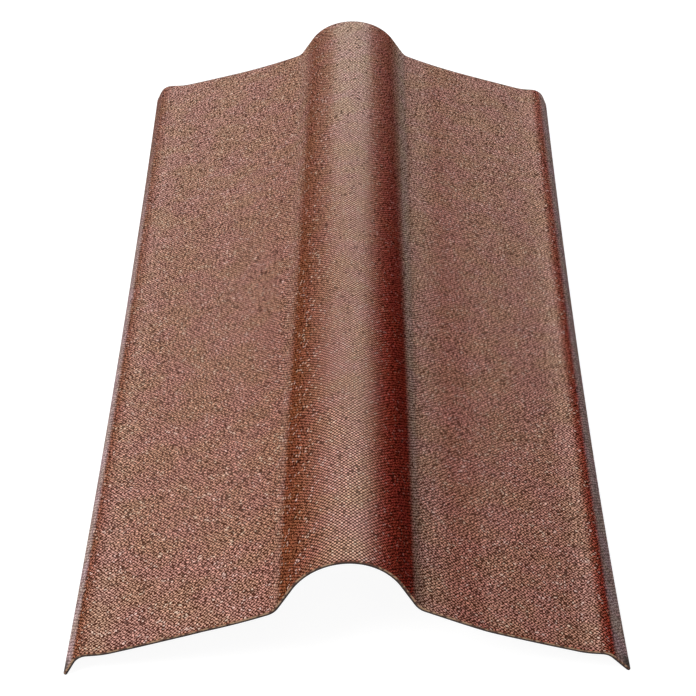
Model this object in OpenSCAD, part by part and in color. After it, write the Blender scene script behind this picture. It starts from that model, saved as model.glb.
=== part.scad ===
// Ridge piece for a corrugated roof: one moulded sheet with a half-round roll along its
// middle, a sloping wing on each side and a turned-down lip along each long edge.
// X runs across the piece, Y along the ridge and Z up. The origin is at the middle of the
// floor that the lips stand on. Slopes are measured down from the level, in degrees, and
// the radii and straights of the section are those of the sheet's upper face.

/* [Sheet] */
// Length of the piece along the ridge
sheet_length = 1000; // [600:10:2000]
// Width over the two lips
sheet_width = 420; // [400:1:520]
// Thickness of the sheet, the same through every bend
sheet_thickness = 3; // [2:0.1:4.5]

/* [Roll] */
// Radius over the top of the roll
roll_radius = 50; // [42:1:56]
// Slope at which each flank leaves the round of the roll
flank_slope = 58; // [48:1:68]
// Straight part of each flank
flank_length = 19; // [6:0.5:26]

/* [Wings] */
// Radius of the hollow between a flank and its wing
valley_radius = 12; // [6:0.5:24]
// Slope of the wing where it leaves the hollow
root_slope = 21; // [19:0.5:26]
// Radius of the camber on which the wing eases to its flat part
camber_radius = 800; // [300:10:1200]
// Slope of the wing's flat part
wing_slope = 16; // [11:0.5:18]

/* [Edges] */
// Radius on which the wing levels out towards its edge
brim_radius = 70; // [30:1:120]
// Slope of the brim just before the lip
brim_slope = 5; // [1:0.5:9]
// Straight part of the brim
brim_length = 6; // [2:0.5:12]
// Radius of the bend that turns the lip down
lip_radius = 15; // [6:0.5:20]
// Slope of the turned-down lip
lip_slope = 70; // [35:1:80]
// Straight part of the lip, down to its rounded edge
lip_length = 9; // [3:0.5:16]

/* [Hidden] */
// How far the chords of a bend may stand off its true arc
chord_error = 0.01;

// The way out of a face that falls at this slope, and the way along it, outwards and down
function normal(slope) = [sin(slope), cos(slope)];
function along(slope) = [cos(slope), -sin(slope)];

// Chords that follow an arc of this radius and turn
function chord_count(radius, turn) =
    ceil(abs(turn) / (2 * acos(1 - chord_error / radius)));

// A station is [point, slope] on the upper face. A straight adds one station at its end.
function straight(from, length) = [[from[0] + length * along(from[1]), from[1]]];

// A bend adds a station at the end of each chord. It curves down to a steeper slope, about a
// centre below the sheet, or up to a gentler one, about a centre above it.
function bend(from, radius, to_slope) =
    let (
        turn = to_slope - from[1],
        side = sign(turn),
        centre = from[0] - side * radius * normal(from[1]),
        count = chord_count(radius, turn)
    )
    [
        for (i = [1:count])
            let (slope = from[1] + turn * i / count)
            [centre + side * radius * normal(slope), slope]
    ];

function last(list) = list[len(list) - 1];
function reverse(list) = [for (i = [len(list) - 1:-1:0]) list[i]];

// The upper face from the top of the roll to the end of the lip
function stations(wing_length) =
    let (
        crown = [[0, 0], 0],
        roll = bend(crown, roll_radius, flank_slope),
        flank = straight(last(roll), flank_length),
        valley = bend(last(flank), valley_radius, root_slope),
        camber = bend(last(valley), camber_radius, wing_slope),
        wing = straight(last(camber), wing_length),
        levelling = bend(last(wing), brim_radius, brim_slope),
        brim = straight(last(levelling), brim_length),
        turn_down = bend(last(brim), lip_radius, lip_slope),
        lip = straight(last(turn_down), lip_length)
    )
    concat([crown], roll, flank, valley, camber, wing, levelling, brim, turn_down, lip);

// The half-round edge of the lip, from the upper face round to the underside
function lip_edge(end) =
    let (
        radius = sheet_thickness / 2,
        centre = end[0] - radius * normal(end[1]),
        count = chord_count(radius, 180)
    )
    [for (i = [1:count - 1]) centre + radius * normal(end[1] + 180 * i / count)];

// Half of the section: out along the upper face, round the edge and back underneath, where
// every point lies one thickness square below its station
function half_outline(wing_length) =
    let (path = stations(wing_length))
    concat(
        [for (s = path) s[0]],
        lip_edge(last(path)),
        [for (s = reverse(path)) s[0] - sheet_thickness * normal(s[1])]
    );

// The wing's flat part takes up what the bends and the other straights leave of the width
reach_without_flat = max([for (p = half_outline(0)) p.x]);
wing_length = (sheet_width / 2 - reach_without_flat) / cos(wing_slope);

right_half = half_outline(wing_length);
left_half = [for (p = reverse(right_half)) if (p.x > 0) [-p.x, p.y]];
sheet_height = -min([for (p = right_half) p.y]);

// The section stands on the lips' edges and is drawn out along the ridge
module ridge_sheet() {
    color("#8f6553")
        translate([0, 0, sheet_height])
            rotate([90, 0, 0])
                linear_extrude(sheet_length, center = true)
                    polygon(concat(right_half, left_half));
}

ridge_sheet();
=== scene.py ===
"""Ridge sheet of a corrugated roof: one pressed sheet of bitumen-soaked fibre, dressed round its CAD frame.

The blank is cut flat, with its edges eased, and then pressed to the section, as the real sheet is. Its flat
width and length stay on it as a UV map in metres, so the mark of the press mesh follows every bend.
"""

import logging
import math
from dataclasses import astuple, dataclass, field
from enum import IntEnum
from functools import cached_property

import bmesh
import bpy
import numpy as np
from mathutils import Euler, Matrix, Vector


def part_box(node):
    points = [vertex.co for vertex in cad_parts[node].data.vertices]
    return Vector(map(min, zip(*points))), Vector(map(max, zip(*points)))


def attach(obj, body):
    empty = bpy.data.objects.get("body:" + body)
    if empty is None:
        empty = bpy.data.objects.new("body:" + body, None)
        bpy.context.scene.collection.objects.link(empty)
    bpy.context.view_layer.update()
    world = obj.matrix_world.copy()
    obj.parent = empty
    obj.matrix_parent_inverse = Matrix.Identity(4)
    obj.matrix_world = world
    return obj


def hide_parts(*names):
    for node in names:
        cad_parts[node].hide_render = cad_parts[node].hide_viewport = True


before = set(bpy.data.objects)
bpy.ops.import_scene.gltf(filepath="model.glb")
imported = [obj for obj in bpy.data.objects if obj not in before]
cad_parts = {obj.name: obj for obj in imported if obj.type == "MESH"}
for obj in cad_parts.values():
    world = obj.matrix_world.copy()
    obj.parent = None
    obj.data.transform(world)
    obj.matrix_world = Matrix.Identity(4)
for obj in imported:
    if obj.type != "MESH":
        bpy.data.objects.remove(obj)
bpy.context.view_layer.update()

SHEET_NODE = "ridge_sheet"
FLAT_MAP = "flat_blank"
MM = 0.001
# The sockets of a Mix node that mixes colours
MIX_FACTOR, MIX_FIRST, MIX_SECOND, MIX_RESULT = 0, 6, 7, 2

log = logging.getLogger("ridge_sheet")

Colour = tuple[float, float, float]
Range = tuple[float, float]
Socket = bpy.types.NodeSocket


class Skin(IntEnum):
    """The three surfaces of the sheet, by material slot."""

    FACE = 0
    BACK = 1
    CUT = 2


def srgb(red: int, green: int, blue: int) -> Colour:
    """Gives the linear colour of a paint chip named by its 0 to 255 values.

    Args:
        red: red value of the chip.
        green: green value of the chip.
        blue: blue value of the chip.

    Returns:
        The three linear values.
    """
    parts = [value / 255 for value in (red, green, blue)]
    return tuple(p / 12.92 if p <= 0.04045 else ((p + 0.055) / 1.055) ** 2.4 for p in parts)


def smooth_ramp(value: np.ndarray, start: float, end: float) -> np.ndarray:
    """Eases from 0 at start to 1 at end.

    Args:
        value: the numbers to ease.
        start: where the ramp leaves 0.
        end: where the ramp reaches 1.

    Returns:
        The eased numbers, from 0 to 1.
    """
    t = np.clip((value - start) / (end - start), 0.0, 1.0)
    return t * t * (3.0 - 2.0 * t)


# ---- section


@dataclass(frozen=True)
class Walk:
    """A walk along the upper face: at each step, how far along, how far out, how far down, and the slope."""

    distance: np.ndarray
    across: np.ndarray
    down: np.ndarray
    slope: np.ndarray


@dataclass(frozen=True)
class PressedSection:
    """The section of the upper face, from the crown outwards: straights and bends laid end to end."""

    half_width: float
    crown_height: float
    thickness: float = 3 * MM
    roll_radius: float = 50 * MM
    flank_slope: float = math.radians(58)
    flank_length: float = 19 * MM
    valley_radius: float = 12 * MM
    root_slope: float = math.radians(21)
    camber_radius: float = 800 * MM
    wing_slope: float = math.radians(16)
    brim_radius: float = 70 * MM
    brim_slope: float = math.radians(5)
    brim_length: float = 6 * MM
    lip_radius: float = 15 * MM
    lip_slope: float = math.radians(70)
    lip_length: float = 9 * MM
    step: float = 0.1 * MM

    def stretches(self, wing_length: float) -> list[tuple[float, float]]:
        """Lists the stretches as (length, slope at its end), each one bending evenly from the last.

        Args:
            wing_length: length of the wing's flat part.

        Returns:
            The stretches from the crown to the end of the lip.
        """
        flank, root, wing = self.flank_slope, self.root_slope, self.wing_slope
        brim, lip = self.brim_slope, self.lip_slope
        return [
            (self.roll_radius * flank, flank),
            (self.flank_length, flank),
            (self.valley_radius * (flank - root), root),
            (self.camber_radius * (root - wing), wing),
            (wing_length, wing),
            (self.brim_radius * (wing - brim), brim),
            (self.brim_length, brim),
            (self.lip_radius * (lip - brim), lip),
            (self.lip_length, lip),
        ]

    def wing_length(self) -> float:
        """Works out what the other stretches leave of the half width for the wing's flat part.

        Returns:
            Its length.
        """
        without_flat = self.trace(self.stretches(0.0))
        edge_radius = self.thickness / 2
        reach = without_flat.across[-1] + edge_radius * (1 - math.sin(self.lip_slope))
        return (self.half_width - reach) / math.cos(self.wing_slope)

    def trace(self, stretches: list[tuple[float, float]]) -> Walk:
        """Walks along the upper face in short steps.

        Args:
            stretches: the stretches to walk.

        Returns:
            The walk.
        """
        ends = np.cumsum([0.0] + [length for length, _ in stretches])
        slopes = [0.0] + [slope for _, slope in stretches]
        distance = np.linspace(0.0, ends[-1], round(ends[-1] / self.step) + 1)
        slope = np.interp(distance, ends, slopes)
        halfway, step = (slope[1:] + slope[:-1]) / 2, np.diff(distance)
        across = np.concatenate([[0.0], np.cumsum(np.cos(halfway) * step)])
        down = np.concatenate([[0.0], np.cumsum(np.sin(halfway) * step)])
        return Walk(distance, across, down, slope)

    def half_path(self) -> float:
        """Gives the length of the upper face from the crown to the end of the lip."""
        return sum(length for length, _ in self.stretches(self.wing_length()))

    def lip_start(self) -> float:
        """Gives the distance along the face at which the lip begins to turn down."""
        return self.half_path() - self.lip_length - self.lip_radius * (self.lip_slope - self.brim_slope)

    def roll_end(self) -> float:
        """Gives the distance along the face from the crown to the foot of the flank."""
        return self.roll_radius * self.flank_slope + self.flank_length

    def foot_reach(self) -> float:
        """Gives how far out from the middle the flanks end."""
        walk = self.trace(self.stretches(self.wing_length()))
        return float(np.interp(self.roll_end(), walk.distance, walk.across))

    def fold_lip(self, past: np.ndarray, turned: np.ndarray) -> tuple[np.ndarray, np.ndarray, np.ndarray]:
        """Walks on from where the lip begins to turn down.

        Args:
            past: how far past that point each place lies, along the face.
            turned: the slope that the lip has at its end there.

        Returns:
            How far out and how far down each place comes to lie from that point, and its slope.
        """
        slope = np.minimum(self.brim_slope + past / self.lip_radius, turned)
        straight = np.maximum(past - self.lip_radius * (turned - self.brim_slope), 0.0)
        out = self.lip_radius * (np.sin(slope) - math.sin(self.brim_slope)) + straight * np.cos(turned)
        down = self.lip_radius * (math.cos(self.brim_slope) - np.cos(slope)) + straight * np.sin(turned)
        return out, down, slope


# ---- sheet


@dataclass(frozen=True)
class Corner:
    """How one corner of the sheet has moved: its lip turned, its wing drawn inward and lifted."""

    lip_turn: float
    draw: float
    lift: float


@dataclass(frozen=True)
class Ripples:
    """Slow waves of a fibre sheet that dried on the press: broad ones, and finer ones that slant across them.

    The waves' own numbers are in radians to the metre, and the sway and the starts in radians.
    """

    depth: float = 0.25 * MM
    broad_across: float = 38.0
    broad_along: float = 31.0
    broad_start: float = 2.0
    sway: float = 5.0
    sway_along: float = 9.0
    fine_share: float = 0.6
    fine_across: float = 83.0
    fine_slant: float = 17.0
    fine_start: float = 1.0
    fine_along: float = 57.0
    fine_cross: float = 21.0
    calm_from: float = 0.8

    def below(self, x: np.ndarray, y: np.ndarray, edge: float) -> np.ndarray:
        """Works out how far each place lies below the true face.

        Args:
            x: how far across the flat blank each place is.
            y: how far along it.
            edge: how far across the waves have died out.

        Returns:
            The depths.
        """
        swayed = self.broad_across * x + self.sway * np.sin(self.sway_along * y)
        broad = np.sin(swayed) * np.sin(self.broad_along * y + self.broad_start)
        slanted = self.fine_across * x - self.fine_slant * y + self.fine_start
        fine = np.sin(slanted) * np.sin(self.fine_along * y - self.fine_cross * x)
        waves = (broad + self.fine_share * fine) / (1 + self.fine_share)
        calm = 1 - smooth_ramp(np.abs(x), self.calm_from * edge, edge)
        return self.depth * (1 + waves) / 2 * calm


@dataclass(frozen=True)
class Settling:
    """How the sheet has moved since it was pressed: small bends that storage leaves in it.

    The powers say how fast a corner's own moves fade away from it.
    """

    near_left: Corner = Corner(lip_turn=math.radians(-9), draw=1.7 * MM, lift=0.0)
    near_right: Corner = Corner(lip_turn=math.radians(-27), draw=5.2 * MM, lift=5.4 * MM)
    far_left: Corner = Corner(lip_turn=math.radians(-5), draw=0.9 * MM, lift=4.8 * MM)
    far_right: Corner = Corner(lip_turn=math.radians(-2), draw=2.5 * MM, lift=2.0 * MM)
    lip_turn_power: int = 4
    near_right_droop: float = 2.0 * MM
    droop_power: int = 6
    side_draw: float = 1.9 * MM
    near_roll_lean: float = 1.75 * MM
    far_roll_drop: float = 4.5 * MM
    far_cut_skew: float = 1.9 * MM
    ripples: Ripples = Ripples()


@dataclass
class RidgeSheet:
    """The whole object: a flat blank, pressed to the section, settled and dressed."""

    section: PressedSection
    length: float
    settling: Settling = field(default_factory=Settling)
    columns: int = 228
    rows: int = 150
    lip_segments: int = 3
    lip_strip: float = 0.02 * MM
    end_ease: float = 0.3 * MM
    end_segments: int = 2
    end_tolerance: float = 0.1 * MM
    broad_facing: float = 0.3
    sharp_angle: float = math.radians(50)

    def build(self) -> bpy.types.Object:
        """Makes the sheet's object.

        Returns:
            The finished object, at the origin.
        """
        bm = bmesh.new()
        self.cut_blank(bm)
        self.ease_edges(bm)
        self.divide(bm)
        self.name_skins(bm)
        self.write_flat_map(bm)
        self.press(bm)
        bmesh.ops.recalc_face_normals(bm, faces=bm.faces)
        self.order_faces(bm)
        mesh = bpy.data.meshes.new("pressed_sheet")
        bm.to_mesh(mesh)
        bm.free()
        mesh.shade_smooth()
        mesh.set_sharp_from_angle(angle=self.sharp_angle)
        sheet = bpy.data.objects.new("pressed_sheet", mesh)
        bpy.context.scene.collection.objects.link(sheet)
        return sheet

    def blank_half_width(self) -> float:
        """Gives half the width of the flat blank, out to the round of its lip."""
        return self.section.half_path() + self.section.thickness / 2

    def cut_blank(self, bm: bmesh.types.BMesh) -> None:
        """Cuts the flat blank, with its upper face at z = 0 and its length along y.

        Args:
            bm: the empty mesh to fill.
        """
        size = Vector((2 * self.blank_half_width(), self.length, self.section.thickness))
        bmesh.ops.create_cube(bm, size=1.0)
        bmesh.ops.scale(bm, vec=size, verts=bm.verts)
        bmesh.ops.translate(bm, vec=(0.0, 0.0, -size.z / 2), verts=bm.verts)

    def ease_edges(self, bm: bmesh.types.BMesh) -> None:
        """Rounds the two long edges fully and takes the sharpness off the two sawn ends.

        Args:
            bm: the blank.
        """
        long_edges = [e for e in bm.edges if abs(e.verts[0].co.y - e.verts[1].co.y) > self.length / 2]
        self.round_off(bm, long_edges, (self.section.thickness - self.lip_strip) / 2, self.lip_segments)
        bmesh.ops.remove_doubles(bm, verts=bm.verts, dist=1.5 * self.lip_strip)
        end = self.length / 2
        rims = [e for e in bm.edges if all(abs(abs(v.co.y) - end) < self.end_tolerance for v in e.verts)]
        self.round_off(bm, rims, self.end_ease, self.end_segments)

    def round_off(
        self, bm: bmesh.types.BMesh, edges: list[bmesh.types.BMEdge], offset: float, segments: int
    ) -> None:
        """Rounds some edges of the blank.

        Args:
            bm: the blank.
            edges: the edges to round.
            offset: how far from each edge its round begins.
            segments: how many flats the round has.
        """
        bmesh.ops.bevel(
            bm,
            geom=edges,
            offset=offset,
            offset_type="OFFSET",
            segments=segments,
            profile=0.5,
            affect="EDGES",
            clamp_overlap=True,
            material=-1,
        )

    def divide(self, bm: bmesh.types.BMesh) -> None:
        """Divides the blank into columns and rows fine enough to bend.

        Args:
            bm: the eased blank.
        """
        wide = [e for e in bm.edges if abs(e.verts[0].co.x - e.verts[1].co.x) > self.blank_half_width()]
        bmesh.ops.subdivide_edges(bm, edges=wide, cuts=self.columns - 1, use_grid_fill=False)
        tall = [e for e in bm.edges if abs(e.verts[0].co.y - e.verts[1].co.y) > self.length / 2]
        bmesh.ops.subdivide_edges(bm, edges=tall, cuts=self.rows - 1, use_grid_fill=False)

    def name_skins(self, bm: bmesh.types.BMesh) -> None:
        """Gives each face its slot: the upper face, the back, or a cut edge.

        Args:
            bm: the flat blank, whose normals still tell the three apart.
        """
        bmesh.ops.recalc_face_normals(bm, faces=bm.faces)
        bm.normal_update()
        for face in bm.faces:
            if face.normal.z > self.broad_facing:
                face.material_index = Skin.FACE
            elif face.normal.z < -self.broad_facing:
                face.material_index = Skin.BACK
            else:
                face.material_index = Skin.CUT

    def write_flat_map(self, bm: bmesh.types.BMesh) -> None:
        """Keeps each point's place on the flat blank as its UV, in metres, with the cut edges folded out.

        Args:
            bm: the flat blank.
        """
        layer = bm.loops.layers.uv.new(FLAT_MAP)
        for face in bm.faces:
            fold = self.fold_of(face)
            for loop in face.loops:
                loop[layer].uv = loop.vert.co.xy - fold * loop.vert.co.z

    def fold_of(self, face: bmesh.types.BMFace) -> Vector:
        """Tells which way a face folds out of the blank's plane.

        Args:
            face: a face of the flat blank.

        Returns:
            The way out across or along the blank for a cut edge, and nothing for the two broad faces.
        """
        across, along, _ = face.normal
        if face.material_index != Skin.CUT:
            return Vector((0.0, 0.0))
        if abs(across) > abs(along):
            return Vector((math.copysign(1, across), 0.0))
        return Vector((0.0, math.copysign(1, along)))

    def press(self, bm: bmesh.types.BMesh) -> None:
        """Presses the blank to the section and settles it.

        Args:
            bm: the flat blank, which becomes the sheet.
        """
        flat = np.array([v.co[:] for v in bm.verts])
        for vert, place in zip(bm.verts, self.pressed(flat)):
            vert.co = place

    def pressed(self, flat: np.ndarray) -> np.ndarray:
        """Works out where the points of the blank go.

        Args:
            flat: the points of the flat blank, one to a row.

        Returns:
            The points of the settled sheet.
        """
        s = self.section
        walk = s.trace(s.stretches(s.wing_length()))
        walked = np.minimum(np.abs(flat[:, 0]), s.half_path())
        inner = np.minimum(walked, s.lip_start())
        out, fallen, turn = s.fold_lip(walked - inner, s.lip_slope + self.lip_turns(flat))
        turn = np.where(walked > inner, turn, np.interp(inner, walk.distance, walk.slope))
        over = np.abs(flat[:, 0]) - walked
        depth = -flat[:, 2] + self.settling.ripples.below(flat[:, 0], flat[:, 1], s.lip_start())
        x = np.interp(inner, walk.distance, walk.across) + out + over * np.cos(turn) - depth * np.sin(turn)
        z = -np.interp(inner, walk.distance, walk.down) - fallen - over * np.sin(turn) - depth * np.cos(turn)
        side = np.sign(flat[:, 0])
        return self.settled(side * x, flat[:, 1], s.crown_height + z, side)

    def order_faces(self, bm: bmesh.types.BMesh) -> None:
        """Puts the faces in the order of their points, because a bevel leaves some of them in a chance order.

        Args:
            bm: the sheet.
        """
        bm.verts.index_update()
        count = len(bm.verts)

        def rank(face: bmesh.types.BMFace) -> int:
            """Ranks a face by its first three points, which no other face has all of."""
            first, second, third = sorted(vert.index for vert in face.verts)[:3]
            return (first * count + second) * count + third

        bm.faces.sort(key=rank)

    def lip_turns(self, flat: np.ndarray) -> np.ndarray:
        """Gives how much further each place's lip is turned down than it was pressed, most at the corners.

        Args:
            flat: the points of the flat blank.

        Returns:
            The turns, in radians.
        """
        bend = self.settling
        near, far = (share**bend.lip_turn_power for share in self.shares(flat[:, 1]))
        left = near * bend.near_left.lip_turn + far * bend.far_left.lip_turn
        right = near * bend.near_right.lip_turn + far * bend.far_right.lip_turn
        return np.where(flat[:, 0] < 0, left, right)

    def shares(self, y: np.ndarray) -> tuple[np.ndarray, np.ndarray]:
        """Gives each place's nearness to the near end and to the far end, which add up to 1."""
        far = 0.5 + y / self.length
        return 1 - far, far

    def settled(self, x: np.ndarray, y: np.ndarray, z: np.ndarray, side: np.ndarray) -> np.ndarray:
        """Adds the small bends that storage leaves in the sheet, all of them inward from its box.

        Args:
            x: how far right each point lies.
            y: how far along.
            z: how high.
            side: the sign of the half that it belongs to.

        Returns:
            The settled points.
        """
        bend = self.settling
        half, foot = self.section.half_width, self.section.foot_reach()
        near, far = self.shares(y)
        middle = 4 * near * far
        out = np.clip((np.abs(x) - foot) / (half - foot), 0.0, 1.0)
        corners = (bend.near_left, bend.near_right, bend.far_left, bend.far_right)
        _, draw, lift = (
            near * np.where(side < 0, near_left, near_right) + far * np.where(side < 0, far_left, far_right)
            for near_left, near_right, far_left, far_right in zip(*map(astuple, corners))
        )
        inward = side * out * (draw + bend.side_draw * middle)
        roll = np.clip(1 - (x / foot) ** 2, 0.0, 1.0) * bend.far_roll_drop * far
        # One wave across the roll: highest at one foot, lowest at the other, level again at twice their reach
        lean = np.sin(np.clip(x / foot, -2.0, 2.0) * math.pi / 2) * bend.near_roll_lean * near**2
        skew = np.maximum(1 + x / half, 0.0) * bend.far_cut_skew * np.clip(2 * far - 1, 0.0, 1.0) ** 2
        droop = np.where(side > 0, (out * near) ** bend.droop_power, 0.0) * bend.near_right_droop
        return np.stack([x - inward, y - skew, z + out**2 * lift - droop + lean - roll], axis=1)


# ---- finishes


@dataclass(frozen=True)
class Spot:
    """Where a spot lies on the flat blank, and which way it faces on the pressed sheet.

    Across and along are measured from the middle, and out is across without its sign.
    """

    place: Socket
    across: Socket
    along: Socket
    out: Socket
    right: Socket
    up: Socket


@dataclass
class Recipe:
    """Writes the nodes of one material or world: each call adds a node and gives its result."""

    owner: bpy.types.Material | bpy.types.World

    def __post_init__(self) -> None:
        """Clears away the nodes that the owner came with."""
        self.owner.use_nodes = True
        self.owner.node_tree.nodes.clear()

    @classmethod
    def named(cls, name: str) -> "Recipe":
        """Starts an empty material of that name."""
        return cls(bpy.data.materials.new(name))

    @cached_property
    def spot(self) -> Spot:
        """Reads where each spot lies and which way it faces.

        Returns:
            The spot, read once for the whole material.
        """
        place = self.add("ShaderNodeUVMap", {}, uv_map=FLAT_MAP).outputs["UV"]
        across, along = self.add("ShaderNodeSeparateXYZ", {0: place}).outputs[:2]
        faces = self.add("ShaderNodeTexCoord", {}).outputs["Normal"]
        right, _, up = self.add("ShaderNodeSeparateXYZ", {0: faces}).outputs
        return Spot(place, across, along, self.maths("ABSOLUTE", across), right, up)

    def add(self, kind: str, inputs: dict[str | int, object], **settings: object) -> bpy.types.Node:
        """Adds a node.

        Args:
            kind: the node's type.
            inputs: what goes into its sockets: a value, or a socket to link.
            settings: properties of the node itself.

        Returns:
            The node.
        """
        tree = self.owner.node_tree
        node = tree.nodes.new(kind)
        for name, value in settings.items():
            setattr(node, name, value)
        for socket, value in inputs.items():
            if isinstance(value, Socket):
                tree.links.new(value, node.inputs[socket])
            elif isinstance(value, tuple) and len(value) == 3 and node.inputs[socket].type == "RGBA":
                node.inputs[socket].default_value = (*value, 1.0)
            else:
                node.inputs[socket].default_value = value
        return node

    def maths(self, operation: str, *values: float | Socket, clamp: bool = False) -> Socket:
        """Adds a Math node and gives its result.

        Args:
            operation: the node's operation.
            values: its operands.
            clamp: whether the result is held between 0 and 1.

        Returns:
            The result.
        """
        node = self.add("ShaderNodeMath", dict(enumerate(values)), operation=operation, use_clamp=clamp)
        return node.outputs[0]

    def times(self, first: float | Socket, second: float | Socket) -> Socket:
        """Multiplies two numbers."""
        return self.maths("MULTIPLY", first, second)

    def ramp(self, value: Socket, start: float, end: float, low: float = 0.0, high: float = 1.0) -> Socket:
        """Eases a value from low at start to high at end.

        Args:
            value: what is eased.
            start: where the ramp leaves low.
            end: where the ramp reaches high.
            low: the result at the start.
            high: the result at the end.

        Returns:
            The eased value.
        """
        inputs = {0: value, 1: start, 2: end, 3: low, 4: high}
        return self.add("ShaderNodeMapRange", inputs, interpolation_type="SMOOTHSTEP").outputs[0]

    def blend(
        self, factor: float | Socket, first: Colour | Socket, second: Colour | Socket, way: str = "MIX"
    ) -> Socket:
        """Mixes two colours.

        Args:
            factor: how much the second colour counts.
            first: the colour at 0.
            second: the colour at 1.
            way: the node's way of mixing.

        Returns:
            The mixed colour.
        """
        inputs = {MIX_FACTOR: factor, MIX_FIRST: first, MIX_SECOND: second}
        return self.add("ShaderNodeMix", inputs, data_type="RGBA", blend_type=way).outputs[MIX_RESULT]

    def tint(self, colour: Socket, tint: Socket) -> Socket:
        """Multiplies a colour by another."""
        return self.blend(1.0, colour, tint, "MULTIPLY")

    def scale(self, colour: Socket, factor: Socket) -> Socket:
        """Makes a colour lighter or darker by a factor."""
        node = self.add("ShaderNodeVectorMath", {0: colour, "Scale": factor}, operation="SCALE")
        return node.outputs[0]

    def noise(self, scale: float, detail: float = 2.0, rough: float = 0.5) -> Socket:
        """Adds a noise pattern that lies on the flat blank.

        Args:
            scale: how many features there are to the metre.
            detail: how many finer layers it has.
            rough: how strong the finer layers are.

        Returns:
            The pattern, about 0.5 on average.
        """
        inputs = {"Vector": self.spot.place, "Scale": scale, "Detail": detail, "Roughness": rough}
        return self.add("ShaderNodeTexNoise", inputs).outputs["Fac"]

    def coat(
        self, colour: Socket, roughness: float, height: Socket, relief: float, gloss: float = 0.5
    ) -> Socket:
        """Writes a rough surface in relief.

        Args:
            colour: its colour.
            roughness: how rough it is.
            height: the pattern that stands out on it.
            relief: how far the pattern's tops stand above its floor.
            gloss: how strongly it reflects, 0.5 for plain matter.

        Returns:
            The shader.
        """
        bump = self.add("ShaderNodeBump", {"Strength": 1.0, "Distance": relief, "Height": height})
        inputs = {
            "Base Color": colour,
            "Roughness": roughness,
            "Specular IOR Level": gloss,
            "Normal": bump.outputs[0],
        }
        return self.add("ShaderNodeBsdfPrincipled", inputs).outputs[0]

    def finish(self, shader: Socket) -> bpy.types.Material:
        """Links the shader to the output and gives the material."""
        self.add("ShaderNodeOutputMaterial", {"Surface": shader})
        return self.owner


@dataclass(frozen=True)
class Knuckles:
    """What the press mesh leaves at each spot: the mark's height, and two random numbers of its knuckle."""

    height: Socket
    own: Socket
    other: Socket


@dataclass(frozen=True)
class MeshMark:
    """The mark that the press mesh leaves: rows of knuckles, each row set half a knuckle over.

    The mark is even on the roll and uneven on the wings, where the mesh was pressed less hard.
    """

    pitch_across: float = 3.35 * MM
    pitch_along: float = 3.95 * MM
    drift: float = 6.0 * MM
    drift_scale: float = 9.0
    roll_jitter: float = 1.3 * MM
    wing_jitter: float = 3.2 * MM
    jitter_scale: float = 330.0
    roll_width: float = 16 * MM
    wing_start: float = 44 * MM

    def write(self, r: Recipe) -> Knuckles:
        """Writes the mark.

        Args:
            r: the material it goes into.

        Returns:
            The mark, with a height of about 0 in the gaps and 1 on the knuckles.
        """
        jitter = r.ramp(r.spot.out, self.roll_width, self.wing_start, self.roll_jitter, self.wing_jitter)
        turns = [r.spot.across, r.spot.along]
        for reach, scale in ((self.drift, self.drift_scale), (jitter, self.jitter_scale)):
            shift = r.add("ShaderNodeTexNoise", {"Vector": r.spot.place, "Scale": scale, "Detail": 0.0})
            pull = r.add("ShaderNodeSeparateXYZ", {0: shift.outputs["Color"]})
            turns = [r.maths("MULTIPLY_ADD", pull.outputs[part], reach, turns[part]) for part in (0, 1)]
        turns = [r.maths("DIVIDE", *pair) for pair in zip(turns, (self.pitch_across, self.pitch_along))]
        cosines = [r.maths("COSINE", r.times(turn, 2 * math.pi)) for turn in turns]
        height = r.maths("MULTIPLY_ADD", r.times(*cosines), 0.5, 0.5)
        cells = [r.maths("ROUND", r.maths(way, *turns)) for way in ("ADD", "SUBTRACT")]
        cell = r.add("ShaderNodeCombineXYZ", {0: cells[0], 1: cells[1]}).outputs[0]
        chance = r.add("ShaderNodeTexWhiteNoise", {"Vector": cell}, noise_dimensions="2D")
        other = r.add("ShaderNodeSeparateXYZ", {0: chance.outputs["Color"]}).outputs[2]
        return Knuckles(height, chance.outputs["Value"], other)


@dataclass(frozen=True)
class Layer:
    """What lies on the upper face, and the light and shade painted on it, here more and there less.

    Starts and ends along the sheet are shares of its half length, from the middle.
    """

    section: PressedSection
    half_length: float


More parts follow.
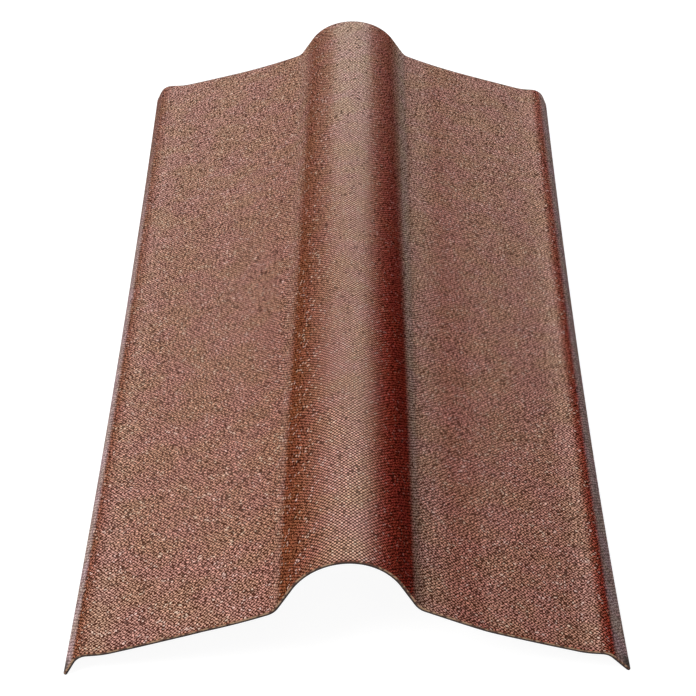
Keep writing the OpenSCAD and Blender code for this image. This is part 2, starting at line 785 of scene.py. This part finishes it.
@dataclass(frozen=True)
class BloomAndHighlight(Layer):
    """Where the pale bloom lies, partly dust and partly painted highlight: on what faces up, in the valleys
    and, thinly, towards the far end.
    """

    lean: float = math.radians(5)
    focus_turn: float = 0.2
    left_focus: float = 5.0
    right_focus: float = 18.0
    left_lip_loss: float = 0.25
    right_lip_loss: float = 0.8
    worn_before_lip: float = 5 * MM
    worn_past_lip: float = 3 * MM
    valley_shift: float = -1 * MM
    near_reach: float = 8 * MM
    far_reach: float = 26 * MM
    left_wing_reach: float = 40 * MM
    right_wing_reach: float = 76 * MM
    near_depth: float = 0.58
    far_depth: float = 0.72
    right_valley_gain: float = 1.5
    near_right_loss: float = 0.22
    thinned_across: Range = (0.5, 0.75)
    thinned_end: float = 0.2
    left_haze: float = 0.18
    right_haze: float = 0.32
    haze_turn: Range = (0.3, 0.6)
    haze_start: float = -0.4

    def share(self, r: Recipe) -> Socket:
        """Works out how much bloom and painted highlight each spot carries.

        Args:
            r: the material it goes into.

        Returns:
            The share of bloom and painted highlight, from 0 to 1.
        """
        settled = r.maths("MAXIMUM", self.upward(r), self.valley_share(r))
        kept = r.times(settled, self.kept(r))
        return r.maths("ADD", kept, self.haze(r), clamp=True)

    def upward(self, r: Recipe) -> Socket:
        """Works out the share on what faces up and a little to the right: dust, and a painted highlight of
        the lamps above.

        Args:
            r: the material it goes into.

        Returns:
            The share, from 0 to 1.
        """
        focus = r.ramp(r.spot.right, -self.focus_turn, self.focus_turn, self.left_focus, self.right_focus)
        leaning = r.times(r.spot.right, math.sin(self.lean))
        facing = r.maths("MULTIPLY_ADD", r.spot.up, math.cos(self.lean), leaning)
        return r.maths("POWER", r.maths("MAXIMUM", facing, 0.0), focus)

    def valley_share(self, r: Recipe) -> Socket:
        """Works out the share in the valleys: dust caught there, and painted light in the right valley, which
        the roll shades. It fades faster up the flank than outward.

        Args:
            r: the material it goes into.

        Returns:
            The share, from 0 to about 1.
        """
        end = self.half_length
        foot = self.section.roll_end() + self.valley_shift
        beyond = r.maths("SUBTRACT", r.spot.out, foot)
        reach = r.ramp(r.spot.along, -end, end, self.near_reach, self.far_reach)
        inside = r.maths("DIVIDE", r.times(beyond, -1.0), reach)
        wing_reach = r.ramp(r.spot.across, -foot, foot, self.left_wing_reach, self.right_wing_reach)
        away = r.maths("MAXIMUM", inside, r.maths("DIVIDE", beyond, wing_reach))
        depth = r.ramp(r.spot.along, -end, end, self.near_depth, self.far_depth)
        # Painted light: the right valley, in the roll's shade, gets more of the pale bloom colour
        gain = r.ramp(r.spot.across, -foot, foot, 1.0, self.right_valley_gain)
        return r.times(r.ramp(away, 0.0, 1.0, 1.0, 0.0), r.times(depth, gain))

    def kept(self, r: Recipe) -> Socket:
        """Works out what is left of the bloom and painted highlight: less on the worn lips and on the near
        right wing.

        Args:
            r: the material it goes into.

        Returns:
            The share left, from 0 to 1.
        """
        lip, end = self.section.lip_start(), self.half_length
        loss = r.ramp(r.spot.across, -lip, lip, self.left_lip_loss, self.right_lip_loss)
        worn = r.ramp(r.spot.out, lip - self.worn_before_lip, lip + self.worn_past_lip)
        start, full = (share * lip for share in self.thinned_across)
        thinned = r.ramp(r.spot.across, start, full, 0.0, self.near_right_loss)
        thinned = r.times(thinned, r.ramp(r.spot.along, -end, self.thinned_end * end, 1.0, 0.0))
        return r.maths("SUBTRACT", 1.0, r.maths("MAXIMUM", r.times(worn, loss), thinned))

    def haze(self, r: Recipe) -> Socket:
        """Works out the thin haze that thickens towards the far end, most on what faces right: dust, and a
        painted sheen where the far end is seen at a grazing angle.

        Args:
            r: the material it goes into.

        Returns:
            The share that it adds.
        """
        thickness = r.ramp(r.spot.right, *self.haze_turn, self.left_haze, self.right_haze)
        start = self.haze_start * self.half_length
        return r.times(thickness, r.ramp(r.spot.along, start, self.half_length))


@dataclass(frozen=True)
class ScuffAndReflection(Layer):
    """Where the two lips are scuffed grey, with a painted reflection of the pale surroundings that they face
    at a grazing angle: their outer part, in patches, less at the left lip's far end.

    At the near end the scuff begins a little further out.
    """

    left_start: float = 7.5 * MM
    right_start: float = 6 * MM
    near_delay: float = 2 * MM
    delay_end: float = -0.4
    width: float = 7 * MM
    patch_scale: float = 70.0
    patch_range: Range = (0.35, 0.6)
    least_patch: float = 0.75
    far_left_loss: float = 0.8

    def share(self, r: Recipe) -> Socket:
        """Works out how scuffed each spot is, with its painted reflection.

        Args:
            r: the material it goes into.

        Returns:
            The share of scuff and painted reflection, from 0 to 1.
        """
        lip, end = self.section.lip_start(), self.half_length
        start = r.ramp(r.spot.across, -lip, lip, lip + self.left_start, lip + self.right_start)
        start = r.maths("ADD", start, r.ramp(r.spot.along, -end, self.delay_end * end, self.near_delay, 0.0))
        past = r.maths("SUBTRACT", r.spot.out, start)
        rubbed = r.ramp(past, 0.0, self.width)
        patches = r.ramp(r.noise(self.patch_scale, 3.0), *self.patch_range, self.least_patch, 1.0)
        left = r.maths("LESS_THAN", r.spot.across, 0.0)
        loss = r.times(left, r.ramp(r.spot.along, 0.0, end, 0.0, self.far_left_loss))
        return r.times(r.times(rubbed, patches), r.maths("SUBTRACT", 1.0, loss))


@dataclass(frozen=True)
class EdgeDarkening(Layer):
    """Where the face is darker: the tips of the two lips at the near end, and the rim of the far end."""

    lip_reach: float = 9 * MM
    lip_full: float = 3 * MM
    end_reach: float = 16 * MM
    end_full: float = 8 * MM
    rim_width: float = 4 * MM
    lip_share: float = 0.9
    rim_share: float = 0.5

    def share(self, r: Recipe) -> Socket:
        """Works out how much darker each spot is.

        Args:
            r: the material it goes into.

        Returns:
            The share of darkening, from 0 to 1.
        """
        tip, end = self.section.half_path(), self.half_length
        low = r.ramp(r.spot.out, tip - self.lip_reach, tip - self.lip_full)
        near = r.ramp(r.spot.along, self.end_full - end, self.end_reach - end, self.lip_share, 0.0)
        rim = r.ramp(r.spot.along, end - self.rim_width, end, 0.0, self.rim_share)
        return r.maths("MAXIMUM", r.times(low, near), rim)


@dataclass(frozen=True)
class Nick:
    """A short dark scratch on the left flank, near the near end."""

    across: float = -44.8 * MM
    along: float = -337.3 * MM
    turn: float = math.radians(-16)
    half_length: float = 5.0 * MM
    half_width: float = 1.5 * MM
    core_half_length: float = 2.5 * MM
    core_half_width: float = 0.5 * MM
    dark: Colour = (0.012, 0.004, 0.003)

    def share(self, r: Recipe) -> Socket:
        """Works out where the scratch is.

        Args:
            r: the material it goes into.

        Returns:
            The share of scratch: 1 along its core, 0 outside it.
        """
        cosine, sine = math.cos(self.turn), math.sin(self.turn)
        off_across = r.maths("SUBTRACT", r.spot.across, self.across)
        off_along = r.maths("SUBTRACT", r.spot.along, self.along)
        down_it = r.maths("MULTIPLY_ADD", off_across, cosine, r.times(off_along, sine))
        over_it = r.maths("MULTIPLY_ADD", off_across, -sine, r.times(off_along, cosine))
        long = r.ramp(r.maths("ABSOLUTE", down_it), self.core_half_length, self.half_length, 1.0, 0.0)
        wide = r.ramp(r.maths("ABSOLUTE", over_it), self.core_half_width, self.half_width, 1.0, 0.0)
        return r.times(long, wide)


@dataclass(frozen=True)
class PaleSheen(Layer):
    """Painted highlight that makes the bloom palest: along the crown, more and more, and at the foot of the
    right flank, where it lifts the roll's shade.
    """

    crown_core: float = 13 * MM
    crown_width: float = 26 * MM
    near_share: float = 0.2
    growing_from: float = -0.1
    above_foot: float = 12 * MM
    foot_core: float = 6 * MM
    past_foot: float = 6 * MM
    foot_full: float = -0.4

    def share(self, r: Recipe) -> Socket:
        """Works out how much paler than elsewhere the painted highlight makes the bloom.

        Args:
            r: the material it goes into.

        Returns:
            The share of painted highlight, from 0 to 1.
        """
        end, foot = self.half_length, self.section.roll_end()
        crown = r.ramp(r.spot.out, self.crown_core, self.crown_width, 1.0, 0.0)
        growing = r.ramp(r.spot.along, self.growing_from * end, end, self.near_share, 1.0)
        begun = r.ramp(r.spot.across, foot - self.above_foot, foot - self.foot_core)
        lasting = r.ramp(r.spot.across, foot, foot + self.past_foot, 1.0, 0.0)
        away = r.ramp(r.spot.along, -end, self.foot_full * end)
        low = r.times(begun, r.times(lasting, away))
        return r.maths("MAXIMUM", r.times(crown, growing), low)


@dataclass(frozen=True)
class Speckle:
    """How uneven the knuckles are: each a little lighter or darker, with a few dark pits, and pale specks
    that are also painted glints of light.
    """

    spread: float = 0.12
    grain: float = 0.22
    grain_scale: float = 380.0
    grain_range: Range = (0.42, 0.58)
    pit_shade: float = 0.3
    pit_patch_scale: float = 50.0
    pit_patch_range: Range = (0.4, 0.75)
    pit_shares: Range = (0.02, 0.06)
    glint: Colour = (0.950, 0.780, 0.660)
    glint_share: float = 0.08
    glint_turn: Range = (0.2, 0.7)
    glint_strengths: Range = (0.38, 0.12)

    def over(self, r: Recipe, mark: Knuckles, top: Socket) -> Socket:
        """Makes the knuckles' tops uneven.

        Args:
            r: the material it goes into.
            mark: the mesh mark.
            top: the colour of the knuckles' tops.

        Returns:
            The uneven colour.
        """
        own = r.maths("MULTIPLY_ADD", mark.other, 2 * self.spread, 1 - self.spread)
        grain = r.noise(self.grain_scale, 0.0)
        fine = r.ramp(grain, *self.grain_range, 1 - self.grain, 1 + self.grain)
        pits = r.ramp(r.noise(self.pit_patch_scale), *self.pit_patch_range, *self.pit_shares)
        pitted = r.maths("MULTIPLY_ADD", r.maths("LESS_THAN", mark.own, pits), self.pit_shade - 1, 1.0)
        shade = r.times(r.times(own, fine), pitted)
        # Painted highlights: the glints are strongest on what faces left, towards the front-left lamp, and
        # faint on what faces right
        strength = r.ramp(r.spot.right, *self.glint_turn, *self.glint_strengths)
        chosen = r.maths("GREATER_THAN", mark.own, 1 - self.glint_share)
        return r.blend(r.times(chosen, strength), r.scale(top, shade), self.glint)


@dataclass(frozen=True)
class PigmentedFace:
    """The upper face: red pigment over bitumen, with a pale bloom and a painted highlight on the knuckles
    that face the sky, and a painted sheen on what faces left.
    """

    section: PressedSection
    half_length: float
    bare_gap: Colour = (0.028, 0.006, 0.003)
    # The left top colour is the red as lit by the front-left lamp: painted sheen on what faces left
    left_sheen_top: Colour = (0.322, 0.098, 0.043)
    right_top: Colour = (0.392, 0.048, 0.029)
    # The bloom colours: pale dust, which also carries the painted highlight where the bloom lies
    bloom_and_highlight_gap: Colour = (0.082, 0.029, 0.018)
    bloom_and_highlight_top: Colour = (0.640, 0.384, 0.299)
    # Painted highlight: the palest bloom colour, along the crown and at the foot of the right flank
    pale_sheen_top: Colour = (0.800, 0.560, 0.460)
    # Lip colours: grey scuff, and a painted reflection of the pale surroundings on the lips
    scuff_and_reflection_gap: Colour = (0.190, 0.120, 0.110)
    scuff_and_reflection_top: Colour = (0.600, 0.450, 0.430)
    edge_darkening: Colour = (0.070, 0.058, 0.052)
    olive_tint: Colour = (0.98, 1.02, 0.94)
    pink_tint: Colour = (1.02, 0.98, 1.06)
    tint_scale: float = 30.0
    tint_range: Range = (0.35, 0.65)
    knuckle_side: Range = (0.48, 0.62)
    full_turn: float = 0.8
    relief: float = 0.2 * MM
    roughness: float = 0.7

    def make(self) -> bpy.types.Material:
        """Writes the finish.

        Returns:
            The material.
        """
        r = Recipe.named("pigmented_face")
        mark = MeshMark().write(r)
        gap, top = self.gap_and_top(r)
        colour = r.blend(r.ramp(mark.height, *self.knuckle_side), gap, Speckle().over(r, mark, top))
        patches = r.ramp(r.noise(self.tint_scale, 3.0), *self.tint_range)
        colour = r.tint(colour, r.blend(patches, self.olive_tint, self.pink_tint))
        colour = r.blend(EdgeDarkening(self.section, self.half_length).share(r), colour, self.edge_darkening)
        colour = r.blend(Nick().share(r), colour, Nick.dark)
        return r.finish(r.coat(colour, self.roughness, mark.height, self.relief, gloss=0.0))

    def gap_and_top(self, r: Recipe) -> tuple[Socket, Socket]:
        """Writes the colours of the gaps and of the knuckles' tops.

        Args:
            r: the material it goes into.

        Returns:
            The two colours.
        """
        layers = (BloomAndHighlight, ScuffAndReflection, PaleSheen)
        bloom_and_highlight, scuff_and_reflection, pale_sheen = (layer(self.section, self.half_length).share(r) for layer in layers)
        # Painted sheen: what faces left takes the paler left colour, what faces right the deep red
        rightward = r.ramp(r.spot.right, -self.full_turn, self.full_turn)
        bare_top = r.blend(rightward, self.left_sheen_top, self.right_top)
        # Painted highlight: the bloom turns palest where the pale sheen lies
        bloom_and_highlight_top = r.blend(pale_sheen, self.bloom_and_highlight_top, self.pale_sheen_top)
        gap = r.blend(scuff_and_reflection, r.blend(bloom_and_highlight, self.bare_gap, self.bloom_and_highlight_gap), self.scuff_and_reflection_gap)
        top = r.blend(scuff_and_reflection, r.blend(bloom_and_highlight, bare_top, bloom_and_highlight_top), self.scuff_and_reflection_top)
        return gap, top


@dataclass(frozen=True)
class MeshBack:
    """The underside: bitumen-black with a trace of brown, and the same mesh mark, softer."""

    dark: Colour = srgb(40, 24, 20)
    pale: Colour = srgb(78, 54, 46)
    patch_scale: float = 40.0
    tone_range: Range = (0.2, 1.1)
    relief: float = 0.2 * MM
    roughness: float = 0.7

    def make(self) -> bpy.types.Material:
        """Writes the finish.

        Returns:
            The material.
        """
        r = Recipe.named("mesh_back")
        mark = MeshMark().write(r)
        patches = r.noise(self.patch_scale, 4.0)
        tone = r.times(r.maths("ADD", mark.height, mark.own), patches)
        colour = r.blend(r.ramp(tone, *self.tone_range), self.dark, self.pale)
        return r.finish(r.coat(colour, self.roughness, mark.height, self.relief))


@dataclass(frozen=True)
class CutEdge:
    """A sawn edge: mottled taupe fibre that darkens to bitumen at the underside, where the dark band is also
    painted shade along the lower edge.
    """

    half_width: float
    half_length: float
    pale_fibre: Colour = srgb(164, 130, 102)
    brown_fibre: Colour = srgb(86, 54, 40)
    dark: Colour = srgb(34, 21, 17)
    dark_depth: float = 1.5 * MM
    dark_blend: float = 0.8 * MM
    lip_dark: Range = (0.2 * MM, 0.8 * MM)
    mottle_scale: float = 260.0
    mottle_range: Range = (0.42, 0.58)
    fibre_scale: float = 900.0
    fibre_roughness: float = 0.6
    raggedness: float = 0.6 * MM
    relief: float = 0.3 * MM
    roughness: float = 0.85

    def make(self) -> bpy.types.Material:
        """Writes the finish.

        Returns:
            The material.
        """
        r = Recipe.named("cut_edge")
        past_side = r.maths("SUBTRACT", r.spot.out, self.half_width)
        past_end = r.maths("SUBTRACT", r.maths("ABSOLUTE", r.spot.along), self.half_length)
        torn = r.noise(self.fibre_scale, 4.0, self.fibre_roughness)
        ragged = r.maths("MULTIPLY_ADD", torn, self.raggedness, past_end)
        # Dark band at the underside and the lips' rims: bitumen, and painted shade along the sheet's lower
        # edge
        deep = r.ramp(ragged, self.dark_depth, self.dark_depth + self.dark_blend)
        dark = r.maths("MAXIMUM", deep, r.ramp(past_side, *self.lip_dark))
        mottle = r.ramp(r.noise(self.mottle_scale, 1.0), *self.mottle_range)
        colour = r.blend(dark, r.blend(mottle, self.brown_fibre, self.pale_fibre), self.dark)
        return r.finish(r.coat(colour, self.roughness, torn, self.relief))


# ---- studio


@dataclass(frozen=True)
class Softbox:
    """A square area lamp that hangs round the sheet and faces its middle."""

    name: str
    bearing: float
    elevation: float
    power: float
    distance: float = 3.2
    size: float = 1.4

    def place(self) -> Vector:
        """Works out where the lamp hangs, with its bearing in degrees clockwise from the far end.

        Returns:
            The place.
        """
        bearing, elevation = math.radians(self.bearing), math.radians(self.elevation)
        level, height = self.distance * math.cos(elevation), self.distance * math.sin(elevation)
        return Vector((level * math.sin(bearing), level * math.cos(bearing), height))

    def hang(self) -> None:
        """Adds the lamp to the scene."""
        lamp = bpy.data.lights.new(self.name, "AREA")
        lamp.shape = "SQUARE"
        lamp.size = self.size
        lamp.energy = self.power
        box = bpy.data.objects.new(self.name, lamp)
        box.location = self.place()
        box.rotation_euler = (-self.place()).to_track_quat("-Z", "Y").to_euler()
        bpy.context.scene.collection.objects.link(box)


@dataclass
class Studio:
    """The pale floor, the soft lamps, the world and the camera."""

    eye: tuple[float, float, float] = (0.0117, -2.032, 1.1731)
    look_down: float = math.radians(30.2)
    look_left: float = math.radians(0.35)
    tilt: float = math.radians(0.06)
    lens: float = 133.6
    view_reach: float = 50.0
    floor_size: float = 14.0
    floor_tone: float = 0.8
    shown_tone: float = 0.2
    shown_glow: float = 0.94
    ambient: float = 0.02
    lamps: tuple[Softbox, ...] = (
        Softbox("back_box", 0.0, 15.0, 170.0, distance=3.4),
        Softbox("front_left_box", -135.0, 45.0, 86.0),
        Softbox("front_box", 180.0, 45.0, 15.0),
    )

    def build(self) -> None:
        """Sets up the whole studio."""
        self.lay_floor()
        self.light_world()
        for lamp in self.lamps:
            lamp.hang()
        self.place_camera()
        bpy.context.scene.view_settings.view_transform = "Standard"

    def lay_floor(self) -> None:
        """Lays the floor, white to the camera, which still takes the sheet's shadow."""
        bm = bmesh.new()
        bmesh.ops.create_grid(bm, x_segments=1, y_segments=1, size=self.floor_size / 2)
        mesh = bpy.data.meshes.new("studio_floor")
        bm.to_mesh(mesh)
        bm.free()
        mesh.materials.append(self.floor_paint())
        floor = bpy.data.objects.new("studio_floor", mesh)
        bpy.context.scene.collection.objects.link(floor)

    def floor_paint(self) -> bpy.types.Material:
        """Writes the floor's paint: matt and pale, with a glow that only the camera and reflections see.

        Returns:
            The material.
        """
        r = Recipe.named("studio_floor")
        seen = self.seen_by_eye(r)
        matt = r.add("ShaderNodeBsdfDiffuse", {"Color": (self.floor_tone,) * 3})
        thin = r.add("ShaderNodeBsdfDiffuse", {"Color": (self.shown_tone,) * 3})
        glow = r.add("ShaderNodeEmission", {"Color": (1.0, 1.0, 1.0), "Strength": self.shown_glow})
        shown = r.add("ShaderNodeAddShader", {0: thin.outputs[0], 1: glow.outputs[0]})
        mixed = r.add("ShaderNodeMixShader", {0: seen, 1: matt.outputs[0], 2: shown.outputs[0]})
        return r.finish(mixed.outputs[0])

    def seen_by_eye(self, r: Recipe) -> Socket:
        """Tells the camera's, mirrors' and glass's rays from the light's own.

        Args:
            r: the material that asks.

        Returns:
            1 for a ray from the camera, a reflection or a transmission, otherwise 0.
        """
        path = r.add("ShaderNodeLightPath", {})
        rays = ("Is Camera Ray", "Is Glossy Ray", "Is Transmission Ray")
        first, second, third = (path.outputs[name] for name in rays)
        return r.maths("MAXIMUM", r.maths("MAXIMUM", first, second), third)

    def light_world(self) -> None:
        """Lights the world evenly, and shows it white to the camera."""
        world = bpy.data.worlds.new("studio_world")
        bpy.context.scene.world = world
        r = Recipe(world)
        path = r.add("ShaderNodeLightPath", {})
        light, shown = (
            r.add("ShaderNodeBackground", {"Color": (1.0, 1.0, 1.0), "Strength": strength})
            for strength in (self.ambient, 1.0)
        )
        inputs = {0: path.outputs["Is Camera Ray"], 1: light.outputs[0], 2: shown.outputs[0]}
        mixed = r.add("ShaderNodeMixShader", inputs)
        r.add("ShaderNodeOutputWorld", {"Surface": mixed.outputs[0]})

    def place_camera(self) -> None:
        """Places the camera above the near end of the sheet, looking down its length."""
        camera = bpy.data.cameras.new("studio_camera")
        camera.lens = self.lens
        camera.clip_end = self.view_reach
        eye = bpy.data.objects.new("studio_camera", camera)
        eye.location = self.eye
        eye.rotation_euler = Euler((math.pi / 2 - self.look_down, self.tilt, self.look_left))
        bpy.context.scene.collection.objects.link(eye)
        bpy.context.scene.camera = eye


# ---- making


def dress(sheet: bpy.types.Object, section: PressedSection, length: float) -> None:
    """Gives the sheet its three finishes.

    Args:
        sheet: the sheet's object.
        section: its section.
        length: its length.
    """
    finishes = {
        Skin.FACE: PigmentedFace(section, length / 2).make(),
        Skin.BACK: MeshBack().make(),
        Skin.CUT: CutEdge(section.half_path(), length / 2).make(),
    }
    for skin in Skin:
        sheet.data.materials.append(finishes[skin])


def main() -> None:
    """Builds the studio and the sheet, and reports the sheet."""
    logging.basicConfig(level=logging.INFO, format="%(name)s: %(message)s")
    low, high = (Vector(corner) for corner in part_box(SHEET_NODE))
    Studio().build()
    section = PressedSection(half_width=(high.x - low.x) / 2, crown_height=high.z)
    length = high.y - low.y
    sheet = RidgeSheet(section, length).build()
    dress(sheet, section, length)
    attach(sheet, "root")
    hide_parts(SHEET_NODE)
    log.info("%s: %d faces", sheet.name, len(sheet.data.polygons))


if __name__ == "__main__":
    main()
